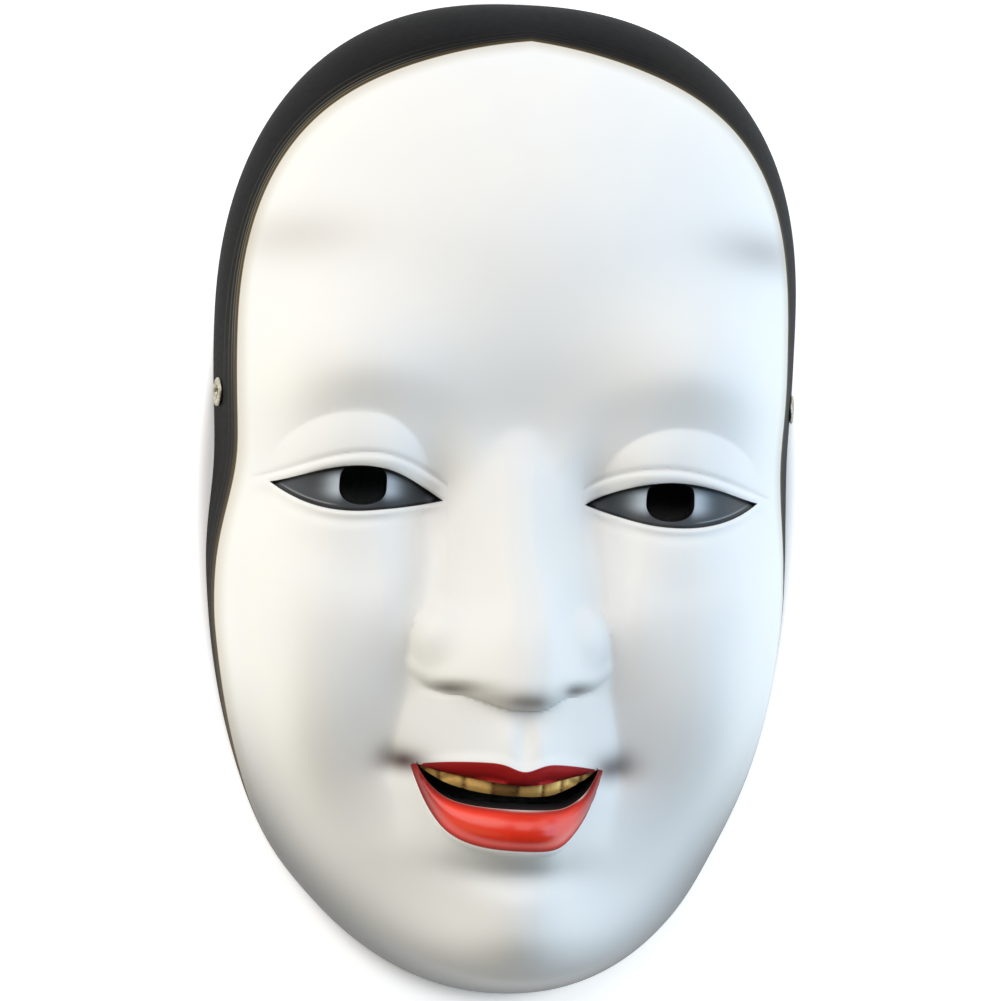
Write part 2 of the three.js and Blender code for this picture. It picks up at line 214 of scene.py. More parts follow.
def pupil_distance(x, y):
    """Distance from the edge of the hole in the pupil, negative inside it."""
    dx = np.abs(np.abs(x) - PUPIL_X) / PUPIL_HALF_W
    dy = y + side_drop(x) - PUPIL_Y
    power = np.where(dy > 0, OVER_POWER, UNDER_POWER)
    dy = np.where(dy > 0, dy / PUPIL_OVER, -dy / PUPIL_UNDER)
    return ((dx ** power + dy ** power) ** (1 / power) - 1) * PUPIL_OVER


def soft_forms(ax, y):
    """The swellings and hollows on the bowl, the same on both sides."""
    f = 6.5 * swell(ax, y, 38, -23.8, 26, 22.7)            # cheek
    f -= 6.6 * swell(ax, y, 18.3, -13.5, 5.4, 20)          # beside the nose
    f += 12.5 * swell(ax, y, 0, -65.4, 15.8, 30.7)         # round the mouth
    f += 12 * swell(ax, y, 0, -98, 30.9, 13.1)             # chin
    f -= 3.6 * swell(ax, y, 0, -76.2, 12.5, 4.2)           # under the lower lip
    f += 1.2 * swell(ax, y, 0, -89, 16, 7)                 # ball of the chin
    f += 6.3 * swell(ax, y, 37.9, 29.1, 18, 13.9)          # brow bone
    f -= 3.9 * swell(ax, y, 32.4, -1.6, 19.5, 10.1)        # eye socket
    f -= 3.0 * swell(ax, y, 14.5, -0.5, 5, 9)              # inner corner of the eye
    f -= 3.9 * swell(ax, y, 0, 12.5, 21.7, 12.8)           # root of the nose
    f += 6.6 * swell(ax, y, 0, 63.1, 36.6, 27.6)           # forehead
    f += 4.2 * swell(ax, y, 47.8, -49.1, 17.4, 16.3)       # jowl
    f += 6 * swell(ax, y, 47.4, -8.9, 12.9, 45.6)          # side of the cheek
    f += 2.2 * swell(ax, y, 52.4, 20.7, 9, 14)             # temple
    brow_line = 25.6 - 4 * ((ax - 33) / 20) ** 2
    return f + 0.6 * ridge_line(y - brow_line, 5) * ridge_line(ax - 33, 18.9)


def cheek_fold(ax, y):
    """The fold from the nose past the mouth, and the dimple at its corner."""
    d = ax - (21.4 + 2.4 * smooth(-38, -56, y) - 1.5 * smooth(-57, -68, y))
    q = np.sqrt(d * d + 1.5) - math.sqrt(1.5)
    valley = np.exp(-q / np.where(d > 0, 9.1, 4.0))
    along = smooth(-22, -42, y) * smooth(-76, -56, y) * np.exp(-(np.maximum(ax - 42, 0) / 12) ** 2)
    corner = 1.9 * swell(ax, y, 22.6, -55.2, 4.2, 3.6)
    return along * (smooth(-1, 16, d) - 3.0 * valley) - corner


def eye_form(x, y):
    """The ball of the eye under its lids."""
    v = y + side_drop(x) - 0.8
    reach = 16.2 + 3.6 * smooth(0, -10, v)
    out = np.abs(x) - 33.6
    r2 = (out / np.where(out > 0, 20.5, 16.5)) ** 2 + (v / reach) ** 2
    rise = v / 15.6 / np.sqrt(r2 + 0.03)
    return 5.5 * np.clip(1 - r2, 0, 1) ** (2.4 - 1.35 * smooth(-0.15, 0.75, rise))


def nose_wing(ax, y):
    """The round wing of a nostril, falling away below the face past its edge."""
    r = 1 - ((ax - 12.4) / 8.4) ** 2 - ((y + 29.2) / 9) ** 2
    return 47.4 + 11.2 * np.where(r > 0, np.maximum(r, 0) ** 0.42, 1.5 * r)


def nose(ax, y, face):
    """The nose: a flat crest, plane sides, round wings and a steep underside."""
    t = blend_min(np.maximum((9 - y) / 41, 0), 1.02, 0.18)
    crest = 50.6 - 0.03 * np.maximum(y - 4, 0) ** 2 + 18.1 * t ** 1.12
    off = ax - 2.8 - 0.9 * t - 0.6 * smooth(-20, -36, y)
    round_off = np.sqrt(off * off + 1.2 + 14 * smooth(-24, -36, y))
    ridge = crest + 0.4 - (0.82 + 0.16 * t) * (off + round_off) / 2
    ridge = ridge - 0.3 * (1.1 - t) * np.maximum(ax - 13, 0) - 2 * np.maximum(ax - 22, 0)
    under = -43.0 + 2.6 * smooth(2, 11.5, ax) + 4.4 * smooth(13, 24, ax)
    off_foot = (y - under) / (7.8 - 2.2 * smooth(5, 12, ax))
    arc = np.sqrt(1 - np.clip(1 - off_foot, 0, 1) ** 3.2)
    return face + (blend_max(ridge, nose_wing(ax, y), 2.5) - face) * arc - 4 * (1 - arc)


def lids(x, y):
    """The roll and groove over the eye and the faint ridge under it."""
    ax, v = np.abs(x), y + side_drop(x)
    along = smooth(13, 18, ax) * smooth(57.5, 50, ax)
    over = bow(lid_crease, ax, v)
    z = along * (0.35 * ridge_line(over + 1.4, 1.0) - 0.5 * ridge_line(over, 0.55))
    under = bow(lid_low, np.clip(ax, EYE_INNER, EYE_OUTER), v)
    z += along * (0.3 * ridge_line(under + 0.7, 0.6) - 0.25 * ridge_line(under + 2.3, 0.9))
    edge = eye_distance(x, y)
    return z - 0.4 * np.clip(1 - np.maximum(edge, 0) / 0.8, 0, 1) ** 2


def lips(ax, y):
    """A rolled edge and a thin upper lip over the slot, a full lip under it."""
    within = np.clip(1 - (ax / 20.3) ** 4, 0, 1)
    over = y - lip_top(ax)
    lower = y <= gap_low(ax) + 0.02
    z = 0.6 * ridge_line(over, 1.2)
    z = z - 0.3 * np.clip(-over, 0, 3.4) ** 2 * ~lower
    low = lip_low(ax) - 1.7 * np.clip(1 - (ax / 19.6) ** 2, 0, 1)
    q = 2 * (y - low) / np.maximum(gap_low(ax) - low, 0.5) - 1
    rise = np.where(q < 0, np.clip(1 - np.abs(q) ** 2.2, 0, 1) ** 0.85, 1 - 0.45 * q * q)
    z = z + 6.4 * np.where((q > -1) & lower, rise, 0)
    z = z + 0.4 * ridge_line(y - lip_low(ax) + 0.45, 0.55)
    return z * within


def face_height(x, y):
    """The finished skin of the face, without the openings."""
    angle = np.arctan2(y, x)
    rho = np.hypot(x, y) / rim_radius(angle)
    ax = np.abs(x)
    z = bowl(rho, angle, DEPTH) + soft_forms(ax, y) * smooth(0, 0.09, 1 - rho)
    z = z + cheek_fold(ax, y) + eye_form(x, y) + lips(ax, y)
    z = blend_max(z, nose(ax, y, z), 3 - 1.8 * smooth(-16, -26, y))
    z = z - 2.4 * swell(ax, y, 12.5, -38.6, 3.6, 1.2)      # nostril
    groove = 0.9 * swell(x, y, 0, -49, 1.9, 4.5)
    banks = 0.35 * swell(ax, y, 3.4, -49.5, 1.6, 4.5)
    return z - groove + banks


def teeth_height(x, y):
    """A curved row of teeth, each a little full between its gaps."""
    z = TEETH_Z - TEETH_CURVE * x * x
    for left, right in zip(TOOTH_GAPS, TOOTH_GAPS[1:]):
        u = np.clip((2 * x - left - right) / (right - left), -1, 1)
        z = z + 0.45 * (1 - np.abs(u) ** 5) * (np.abs(u) < 1)
    return z - 0.5 * ridge_line(y - teeth_edge(np.abs(x)), 0.5)


def skin_height(x, y):
    """The face with its eyes and mouth sunk in."""
    z = face_height(x, y) + lids(x, y)
    ax, v = np.abs(x), y + side_drop(x)
    edge = eye_distance(x, y)
    up = smooth(0, 1, (v - lid_low(ax)) / np.maximum(lid_top(ax) - lid_low(ax), 0.2))
    ball = face_height(x, y) - 0.9 - 0.9 * up
    z = np.where(edge < -EDGE / 2, ball, z)
    mouth = (y < lip_edge(ax) - EDGE / 2) & (y > gap_low(ax) + 0.02) & (ax < MOUTH_HALF)
    return np.where(mouth, np.minimum(teeth_height(x, y), z), z)


def hollow_height(x, y):
    """The inside, which follows the face where its wall leaves room."""
    angle = np.arctan2(y, x)
    rho = np.hypot(x, y) / (rim_radius(angle) - WALL)
    ax = np.abs(x)
    z = bowl(rho, angle, HOLLOW_DEPTH) + 0.85 * soft_forms(ax, y) * smooth(0, 0.12, 1 - rho)
    z = z + 3 * swell(ax, y, 34, 2, 15, 10) + 10 * swell(ax, y, 0, -23, 9, 12)
    behind_teeth = TEETH_Z - TEETH_CURVE * x * x - LEAST_WALL
    behind_teeth += 2.5 * (np.maximum(np.abs(y + 58.5) - 6, 0) + np.maximum(ax - 20.5, 0))
    behind_skin = face_height(x, y) - LEAST_WALL - 0.9 * swell(ax, y, 24, 2, 14, 6)
    behind_skin -= 1.8 * swell(ax, y, 11, -37, 6, 4) - 0.4 * swell(ax, y, 17, -2, 4, 5)
    return blend_min(blend_min(z, behind_skin, 3), behind_teeth, 2)


# Rows of points along the carved edges, so that the skin breaks exactly there
LINE_POINTS = 90


def across_mouth(half):
    """Places across the mouth, closer together towards its corners."""
    return half * np.sin(np.linspace(-np.pi / 2, np.pi / 2, LINE_POINTS))


def eye_loop(side, inset):
    """Round the opening of an eye, that much inside its edge."""
    t = np.linspace(0, 1, 80)
    ax = EYE_INNER + inset * 3 + (EYE_OUTER - EYE_INNER - inset * 6) * (0.5 - 0.5 * np.cos(np.pi * t))
    top, low = lid_top(ax) - inset, lid_low(ax) + inset
    ax = np.concatenate([ax, ax[-2:0:-1]])
    v = np.concatenate([top, low[-2:0:-1]])
    return np.stack([side * ax, v - side_drop(side * ax)], 1)


def pupil_loop(side, grow):
    """Round the hole in a pupil, that much outside its edge."""
    t = np.linspace(0, 2 * np.pi, 72, endpoint=False)
    c, s = np.cos(t), np.sin(t)
    power = np.where(s > 0, OVER_POWER, UNDER_POWER)
    r = (np.abs(c) ** power + np.abs(s) ** power) ** (-1 / power)
    x = side * PUPIL_X + (PUPIL_HALF_W + grow) * r * c
    reach = np.where(s > 0, PUPIL_OVER, PUPIL_UNDER) + grow
    return np.stack([x, PUPIL_Y + reach * r * s - side_drop(x)], 1)


def slot_loop():
    """Round the slot between the teeth and the lower lip."""
    x = across_mouth(SLOT_HALF)
    top, low = teeth_edge(np.abs(x)), gap_low(np.abs(x))
    return np.concatenate([np.stack([x, top], 1), np.stack([x, low], 1)[::-1]])


def lip_line(inset):
    """Along the lower edge of the upper lip: the only open row."""
    x = across_mouth(MOUTH_HALF - 0.5)
    return np.stack([x, lip_edge(np.abs(x)) - inset], 1)


RING_POINTS = 480
RING_START = 0.88      # from here to the rim the shell is made of rings
phi = np.linspace(0, 2 * np.pi, RING_POINTS, endpoint=False)
RING_ANGLES = np.arctan2(CROWN_Y * np.sin(phi), HALF_WIDTH * np.cos(phi))


def ring(rho, inset):
    """Points right round the shell; rho is one at the rim, less the inset."""
    r = rho * (rim_radius(RING_ANGLES) - inset)
    return np.stack([r * np.cos(RING_ANGLES), r * np.sin(RING_ANGLES)], 1)


def scatter(spacing, keep):
    """Points of a triangular net, kept where a test of x and y says."""
    rows = np.arange(JAW_Y, CROWN_Y, spacing * 0.866)
    columns = np.arange(-HALF_WIDTH, HALF_WIDTH, spacing)
    x, y = np.meshgrid(columns, rows)
    x = x + (np.arange(len(rows)) % 2 * spacing / 2)[:, None]
    x, y = x.ravel(), y.ravel()
    chosen = keep(x, y)
    return np.stack([x[chosen], y[chosen]], 1)


def zone(x, y):
    """Nought on the plain skin, one by the eyes, two by the nose and mouth."""
    eye = ((np.abs(x) - 34) / 23) ** 2 + ((y + side_drop(x) - 4) / 13) ** 2 < 1
    middle = (x / 27) ** 2 + ((y + 47) / 31) ** 2 < 1
    return np.where(eye, 1, np.where(middle, 2, 0))


FRONT_SPACINGS, BACK_SPACINGS = (1.25, 0.48, 0.55), (2.6, 2.2, 2.2)        # one for each zone
RING_MARGIN = 0.5                                  # the net stays this far inside the rings,
EDGE_SHARE, EDGE_SPACING = 0.6, 0.8                # and a share of its spacing off the edges


def net(spacings, loops, outer):
    """Triangles over the middle of the shell, with every loop as an edge.

    Gives the points, the triangles and where each point of the loops went.
    """
    loop_points = np.concatenate(loops)
    tree = KDTree(len(loop_points))
    for i, (x, y) in enumerate(loop_points):
        tree.insert((x, y, 0), i)
    tree.balance()
    around = np.arctan2(outer[:, 1], outer[:, 0])
    order = np.argsort(around)
    angles, limit = around[order], np.hypot(outer[:, 0], outer[:, 1])[order]

    def within(x, y, margin=0.0):
        return np.hypot(x, y) < np.interp(np.arctan2(y, x), angles, limit, period=2 * np.pi) - margin

    parts = []
    for number, spacing in enumerate(spacings):
        cloud = scatter(spacing, lambda x, y: (zone(x, y) == number) & within(x, y, RING_MARGIN))
        clear = [tree.find((x, y, 0))[2] > EDGE_SHARE * min(spacing, EDGE_SPACING) for x, y in cloud]
        parts.append(cloud[np.array(clear, bool)])
    points = np.concatenate([outer] + loops + parts)
    edges, start = [], 0
    for loop in [outer] + loops:
        closed = len(loop) != LINE_POINTS
        edges += [(start + i, start + (i + 1) % len(loop)) for i in range(len(loop) - (not closed))]
        start += len(loop)
    out = delaunay_2d_cdt([Vector(p) for p in points.tolist()], edges, [], 0, 1e-5, True)
    new, triangles, sources = np.array([v[:] for v in out[0]]), np.array(out[2]), out[3]
    place = {}
    for i, origins in enumerate(sources):
        for o in origins:
            place.setdefault(o, i)
    x, y = new[triangles].mean(1).T
    slot = (y < teeth_edge(np.abs(x))) & (y > gap_low(np.abs(x))) & (np.abs(x) < SLOT_HALF)
    open_air = (pupil_distance(x, y) < 0) | slot
    return new, triangles[within(x, y) & ~open_air], place


vertices, faces, deep = [], [], []


def add_points(x, y, z, depth):
    """Points of the shell; depth is nought on the face, one on the inside."""
    start = len(vertices)
    vertices.extend(zip(x.tolist(), y.tolist(), z.tolist()))
    deep.extend([depth] * len(x))
    return start


def add_band(first_row, second_row, turn=1):
    """Four-sided faces between two closed rows of points."""
    for i in range(len(first_row)):
        j = (i + 1) % len(first_row)
        faces.append((first_row[i], second_row[i], second_row[j], first_row[j])[::turn])


def add_surface(spacings, loops, inset, height, depth, rings, inward):
    """One side of the shell: a net in the middle, then rings out to the rim.

    The rings are closer together towards the rim, where the wall stands up.
    """
    points, triangles, place = net(spacings, loops, ring(RING_START, inset))
    base = add_points(points[:, 0], points[:, 1], height(points[:, 0], points[:, 1]), depth)
    turn = -1 if inward else 1
    faces.extend([tuple(base + i for i in t[::turn]) for t in triangles.tolist()])
    previous = [base + place[i] for i in range(RING_POINTS)]
    steps = np.linspace(np.arcsin(RING_START) * 2 / np.pi, 1, rings + 1)[1:]
    for number, s in enumerate(steps, 1):
        p = ring(math.sin(s * math.pi / 2), inset)
        z = height(p[:, 0], p[:, 1]) if number < rings else np.zeros(RING_POINTS)
        first = add_points(p[:, 0], p[:, 1], z, depth)
        current = [first + i for i in range(RING_POINTS)]
        add_band(previous, current, turn)
        previous = current
    rows, count = [], RING_POINTS
    for loop in loops:
        rows.append([base + place[count + i] for i in range(len(loop))])
        count += len(loop)
    return previous, rows


FRONT_RINGS, BACK_RINGS, WALL_STEPS, PUPIL_LINE = 26, 14, 4, 0.2
holes = [pupil_loop(-1, 0), pupil_loop(1, 0), slot_loop()]
carved = [pupil_loop(-1, PUPIL_LINE), pupil_loop(1, PUPIL_LINE), eye_loop(-1, 0), eye_loop(1, 0),
          eye_loop(-1, EDGE), eye_loop(1, EDGE), lip_line(0), lip_line(EDGE)]
outer_rim, front_holes = add_surface(FRONT_SPACINGS, holes + carved, 0, skin_height, 0, FRONT_RINGS, False)
inner_rim, back_holes = add_surface(BACK_SPACINGS, holes, WALL, hollow_height, 1, BACK_RINGS, True)
add_band(outer_rim, inner_rim)
for front, back in zip(front_holes, back_holes):
    previous = front
    start, end = np.array([vertices[i] for i in front]), np.array([vertices[i] for i in back])
    for step in range(1, WALL_STEPS):
        p = start + (end - start) * step / WALL_STEPS
        first = add_points(p[:, 0], p[:, 1], p[:, 2], step / WALL_STEPS)
        current = [first + i for i in range(len(front))]
        add_band(previous, current)
        previous = current
    add_band(previous, back)

spots, deep = np.array(vertices), np.array(deep)
x, y = spots[:, 0], spots[:, 1]
ax = np.abs(x)
mesh = bpy.data.meshes.new("mask_shell_skin")
placed = np.stack([x + lean(x, y), y - sag(x, y) + EYE_LINE, spots[:, 2]], 1) / 1000
mesh.from_pydata(placed.tolist(), [], faces)
work = bmesh.new()
work.from_mesh(mesh)
bmesh.ops.recalc_face_normals(work, faces=work.faces)
work.to_mesh(mesh)
work.free()
mask = bpy.data.objects.new("mask_shell_painted", mesh)
bpy.context.scene.collection.objects.link(mask)
mesh.polygons.foreach_set("use_smooth", np.ones(len(mesh.polygons), bool))
mesh.set_sharp_from_angle(angle=SHARP_FROM)


def keep(name, values):
    """A number at each point of the shell, which its paint follows."""
    mesh.attributes.new(name, "FLOAT", "POINT").data.foreach_set("value", values.astype(np.float32))


# Where the paint, the painted shade and a painted highlight go: distances in millimetres, or masks from
# nought to one
FAR_OFF = 9
radius = rim_radius(np.arctan2(y, x))
rho = np.hypot(x, y) / radius
steep = np.degrees(np.arctan2(y, ax))
v = y + side_drop(x)
hairline = 0.924 + 0.058 * smooth(12, -26, steep) + 0.02 * smooth(-26, -66, steep)
hairline = hairline - 0.046 * ridge_line(steep - 76, 18)
keep("hair", (rho - hairline) * radius)
# painted shade round the chin and jaw, darker towards the rim where the surface turns down
keep("chin_rim", smooth(0.78, 1.01, rho) ** 1.7 * smooth(-30, -80, y))
keep("streaks", 0.25 + 0.75 * smooth(-15, -40, x) * smooth(15, 40, y))
keep("brow_left", swell(-x, y, 50.5, 55, 15, 5.4))
keep("brow_right", swell(x, y, 52.5, 55, 13, 4.8))
keep("eye", eye_distance(x, y))
keep("crease", np.where((ax > 14) & (ax < 57), bow(lid_crease, ax, v), FAR_OFF))
keep("across", ax - PUPIL_X)
lid_v = (v - lid_low(ax)) / np.maximum(lid_top(ax) - lid_low(ax), 0.5)
beside = np.abs(ax - PUPIL_X)
pale = np.exp(-(np.maximum(beside - 5.2, 0) / 2.7) ** 2) * smooth(3.6, 5.2, beside)
# the pale fades out under the upper lid: painted shade under its overhang
keep("eye_white", pale * smooth(0.12, 0.5, lid_v) * smooth(1.02, 0.7, lid_v))
keep("over_lid", bow(lid_low, np.clip(ax, EYE_INNER, EYE_OUTER), v))
keep("outer_half", smooth(36.5, 40, ax) * smooth(51.5, 47, ax))
upper_red = np.minimum(lip_top(ax) - y, y - lip_edge(ax) + 0.06)
lower_red = np.minimum(gap_low(ax) - y, y - lip_low(ax))
keep("red", np.maximum(upper_red, lower_red))
keep("below", gap_low(ax) - y)
keep("gum", np.minimum(np.minimum(lip_edge(ax) - y, y - gap_low(ax)), MOUTH_HALF - ax))
nearest_gap = np.min(np.abs(x[:, None] - np.array(TOOTH_GAPS)[None, :]), axis=1)
keep("tooth_side", np.exp(-(nearest_gap / 0.35) ** 2))
keep("brown_tooth", smooth(-5.6, -5.2, x) * smooth(-0.4, -0.8, x))
keep("bare", swell(x, y, 14.2, -59.6, 1.6, 1.2) + 0.7 * swell(x, y, -1, -62.5, 4, 0.6))
# painted shade in the nostrils, under the tip of the nose and under the lower lip
under_nose_shade = 0.8 * swell(x, y, 0.5, -41, 5, 1.6)
under_lip_shade = 0.3 * swell(x, y, 0.5, -75.6, 11, 2.4)
keep("nostril", swell(ax, y, 12.5, -38.8, 3.6, 1.0) + under_nose_shade + under_lip_shade)
# painted shade in the dimples at the corners of the mouth
left_corner_shade = swell(-x, y, 20.8, -54.6, 4.4, 2.4)
right_corner_shade = 0.8 * swell(x, y, 21.8, -55.0, 4.8, 2.8)
keep("corner", np.where(x < 0, left_corner_shade, right_corner_shade))
keep("deep", deep)


class Paint:
    """A value in a tree of nodes; arithmetic on values makes the Math nodes."""

    def __init__(self, tree, socket=None):
        self.tree, self.socket = tree, socket

    def node(self, kind, settings=None, sockets=None, out=0):
        """A node of a kind: its settings first, then values or links of its sockets."""
        made = self.tree.nodes.new(kind)
        for name, value in (settings or {}).items():
            setattr(made, name, value)
        for name, value in (sockets or {}).items():
            if isinstance(value, Paint):
                self.tree.links.new(value.socket, made.inputs[name])
            elif isinstance(value, tuple) and len(value) == 3 and len(made.inputs[name].default_value) == 4:
                made.inputs[name].default_value = value + (1,)
            else:
                made.inputs[name].default_value = value
        return Paint(self.tree, made.outputs[out])

    def math(self, operation, *others):
        values = (self,) + others
        return self.node("ShaderNodeMath", {"operation": operation}, dict(enumerate(values)))

    def __add__(self, other):
        return self.math("ADD", other)

    def __sub__(self, other):
        return self.math("SUBTRACT", other)

    def __rsub__(self, other):
        return self.math("MULTIPLY_ADD", -1.0, other)

    def __mul__(self, other):
        return self.math("MULTIPLY", other)

    def __pow__(self, power):
        return self.math("POWER", power)

    def __neg__(self):
        return self.math("MULTIPLY", -1.0)

    __radd__, __rmul__ = __add__, __mul__

    def mark(self, name):
        """The number kept at each point under this name."""
        return self.node("ShaderNodeAttribute", {"attribute_name": name}, out="Fac")

    def rise(self, low, high):
        """From nought to one between two values, softly."""
        return self.node("ShaderNodeMapRange", {"interpolation_type": "SMOOTHSTEP"},
                         {"Value": self, "From Min": low, "From Max": high})

    def line(self, width):
        """One on a line, fading to nought on both sides of it."""
        return (-((self * (1 / width)) ** 2.0)).math("EXPONENT")

    def over(self, base, colour):
        """The colour painted over the base, where this mask is one."""
        return self.node("ShaderNodeMix", {"data_type": "RGBA"}, {0: self, 6: base, 7: colour}, 2)

    def mottle(self, grain, detail=3.0):
        """Soft random patches about so many metres across."""
        place = self.node("ShaderNodeTexCoord", out="Object")
        return self.node("ShaderNodeTexNoise", {}, {"Vector": place, "Scale": 1 / grain, "Detail": detail})

    def bump(self, strength, distance):
        """This value as a relief of the surface."""
        return self.node("ShaderNodeBump", {}, {"Strength": strength, "Distance": distance, "Height": self})


def finish_of(name, **constants):
    """A new finish: its material, its shader, and a value to start others from."""
    material = bpy.data.materials.new(name)
    material.use_nodes = True
    shader = material.node_tree.nodes["Principled BSDF"]
    for socket, value in constants.items():
        shader.inputs[socket.replace("_", " ")].default_value = value
    return material, shader, Paint(material.node_tree)


def feed(shader, socket, value):
    """Lead a value that varies over the surface to one of the shader's sockets."""
    value.tree.links.new(value.socket, shader.inputs[socket])


WHITE, WARM_WHITE, ROLL_HIGHLIGHT_WHITE = (0.84, 0.835, 0.81), (0.88, 0.86, 0.80), (0.98, 0.95, 0.94)
HAIR_BLACK, HAIR_WORN = (0.009, 0.009, 0.010), (0.024, 0.022, 0.018)
HAIRLINE_BROWN, HAIRLINE_TINT_AND_SHADE_BROWN = (0.11, 0.075, 0.03), (0.42, 0.35, 0.21)
STRAND_PALE = (0.30, 0.27, 0.20)
INK, EYE_CORNER_AND_LID_SHADE, EYE_WHITE = (0.006, 0.006, 0.008), (0.035, 0.04, 0.045), (0.43, 0.49, 0.54)
LID_LINE, UNDERSIDE_SHADE_GREY = (0.20, 0.21, 0.22), (0.17, 0.14, 0.13)
BROW_PAINT_AND_CREASE_SHADE_GREY, BROW_BROWN = (0.30, 0.29, 0.29), (0.34, 0.28, 0.22)
RIM_SHADE_GREY, CORNER_SHADE_BROWN = (0.05, 0.05, 0.048), (0.08, 0.04, 0.04)
CRIMSON, VERMILION, DEEP_RED = (0.66, 0.024, 0.026), (0.82, 0.036, 0.012), (0.24, 0.012, 0.012)
GOLD, TOOTH_BROWN = (0.98, 0.60, 0.18), (0.15, 0.05, 0.014)
INSIDE_BROWN, INSIDE_BLACK = (0.030, 0.022, 0.017), (0.010, 0.009, 0.009)

material, shader, paint = finish_of("white_satin_paint", IOR=1.48, Coat_Roughness=0.24,
                                    Specular_Tint=(0.7, 0.7, 0.7, 1))
hair, eye, across = paint.mark("hair"), paint.mark("eye"), paint.mark("across")
red, below, gum, deep_in = paint.mark("red"), paint.mark("below"), paint.mark("gum"), paint.mark("deep")
cloud, grain = paint.mottle(0.030, 2), paint.mottle(0.0016, 3)

# the skin: white; brown beside the hair, as paint and painted shade; brow marks; painted shade in the lid
# creases, the mouth corners, round the chin and under the nose and lower lip
colour = (cloud.rise(0.35, 0.7) * 0.5).over(WHITE, WARM_WHITE)
colour = (paint.mark("brow_left") * 0.30).over(colour, BROW_BROWN)
colour = (paint.mark("brow_right") * 0.58).over(colour, BROW_PAINT_AND_CREASE_SHADE_GREY)
# painted shade: a grey line along the groove over the upper lid
colour = (paint.mark("crease").line(0.35) * across.rise(25, 21) * 0.22).over(colour, BROW_PAINT_AND_CREASE_SHADE_GREY)
# a brown fade on the white beside the hair: paint, and painted shade in the step at the hair's edge
colour = (hair.rise(-3.2, -0.1) * 0.42).over(colour, HAIRLINE_TINT_AND_SHADE_BROWN)
# painted shade in the dimples at the corners of the mouth
colour = (paint.mark("corner") * 0.95).over(colour, CORNER_SHADE_BROWN)
# painted shade round the chin and jaw, darker towards the rim
colour = paint.mark("chin_rim").over(colour, RIM_SHADE_GREY)
# painted shade in the nostrils, under the nose and under the lower lip
colour = (paint.mark("nostril") * 0.8).over(colour, UNDERSIDE_SHADE_GREY)

# the eyes: charcoal at the corners, and as painted shade under the upper lid; pale beside the pupil; an ink
# line round
eye_paint = paint.mark("eye_white").over(EYE_CORNER_AND_LID_SHADE, EYE_WHITE)
over_lid, outer_half = paint.mark("over_lid"), paint.mark("outer_half")
eye_paint = (over_lid.rise(1.05, 0.8) * outer_half).over(eye_paint, INK)
eye_paint = ((over_lid - 0.95).line(0.16) * outer_half).over(eye_paint, LID_LINE)
eye_paint = eye.rise(-0.75, -0.35).over(eye_paint, INK)
colour = eye.rise(0.12, 0.0).over(colour, eye_paint)

# the lips: crimson above, vermilion below, deeper at their edges
lip = below.rise(-0.5, 0.5).over(CRIMSON, VERMILION)
lip = (red.rise(1.3, 0.0) * 0.6).over(lip, DEEP_RED)
lip = (across.rise(-20.5, -14.5) * 0.9).over(lip, DEEP_RED)
on_lip = red.rise(-0.06, 0.06)
# a painted highlight along the roll under the lower lip
colour = ((red + 0.3).line(0.22) * below.rise(1.0, 2.5) * 0.9).over(colour, ROLL_HIGHLIGHT_WHITE)
colour = on_lip.over(colour, lip)
colour = (paint.mark("bare") * below.line(0.3)).over(colour, WARM_WHITE)

# the teeth: gilt, browner between them, one of them brown
gilt = (paint.mark("brown_tooth") * 0.75 + grain.rise(0.5, 0.9) * 0.3).over(GOLD, TOOTH_BROWN)
tooth = (paint.mark("tooth_side") * 0.9).over(gilt, TOOTH_BROWN)
on_tooth = gum.rise(-0.02, 0.08)
colour = on_tooth.over(colour, tooth)

# the hair: black, with a brown edge and fine pale strands beside it
black = (cloud.rise(0.45, 0.75) * 0.35).over(HAIR_BLACK, HAIR_WORN)
wander = (paint.mottle(0.05, 1) - 0.5) * 1.6
streaks = paint.mark("streaks")
for offset, strength in ((0.7, 0.7), (1.2, 0.45), (1.9, 0.25), (2.9, 0.12)):
    strand = (hair - offset - wander * (offset * 0.3)).line(0.12)
    black = (strand * streaks * strength).over(black, STRAND_PALE)
black = (hair - 0.3).line(0.3).over(black, HAIRLINE_BROWN)
on_hair = hair.rise(-0.12, 0.12) * deep_in.rise(0.3, 0.0)
colour = on_hair.over(colour, black)

# the inside: dark brown paint, brushed; the walls of the holes: black, as paint and as painted shade in the
# holes
inside = cloud.over(INSIDE_BLACK, INSIDE_BROWN)
in_hole = deep_in.rise(0.02, 0.10)
colour = in_hole.over(colour, deep_in.rise(0.8, 1.0).over(INK, inside))

feed(shader, "Base Color", colour)
rough = 0.36 + grain * 0.10 + cloud * 0.06
rough = rough + on_lip * (red.rise(0.2, 2.0) * -0.3 + 0.2) + on_hair * 0.16 + in_hole * 0.2
feed(shader, "Roughness", rough)
gilding = on_tooth * deep_in.rise(0.1, 0.0) * 0.5
lip_border = on_lip * red.rise(2.4, 0.4) * 0.5
feed(shader, "Metallic", gilding + on_hair * 0.92 + lip_border)
feed(shader, "Coat Weight", red.rise(0.4, 2.2) * 0.5)
height = grain * 0.25 + paint.mottle(0.0045, 2)
feed(shader, "Normal", height.bump(0.12, 0.00012))
mesh.materials.append(material)
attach(mask, "root")
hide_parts("mask_shell")

# The eyelets: a brass tube in the wall at each temple, its end rolled out into
# a ring, for the cord that ties the mask on. Pressed into drilled holes.
BORE, RING_HALF, RING_HEIGHT, TUBE_WALL, TUBE_LENGTH = 0.0013, 0.00095, 0.00042, 0.0007, 0.0050
EYELET_TURN = math.radians(14)
EYELET_FACE = (0.06421, 0.0211, 0.006669)
BRASS_PALE, BRASS_DARK = (0.50, 0.47, 0.37), (0.24, 0.22, 0.16)


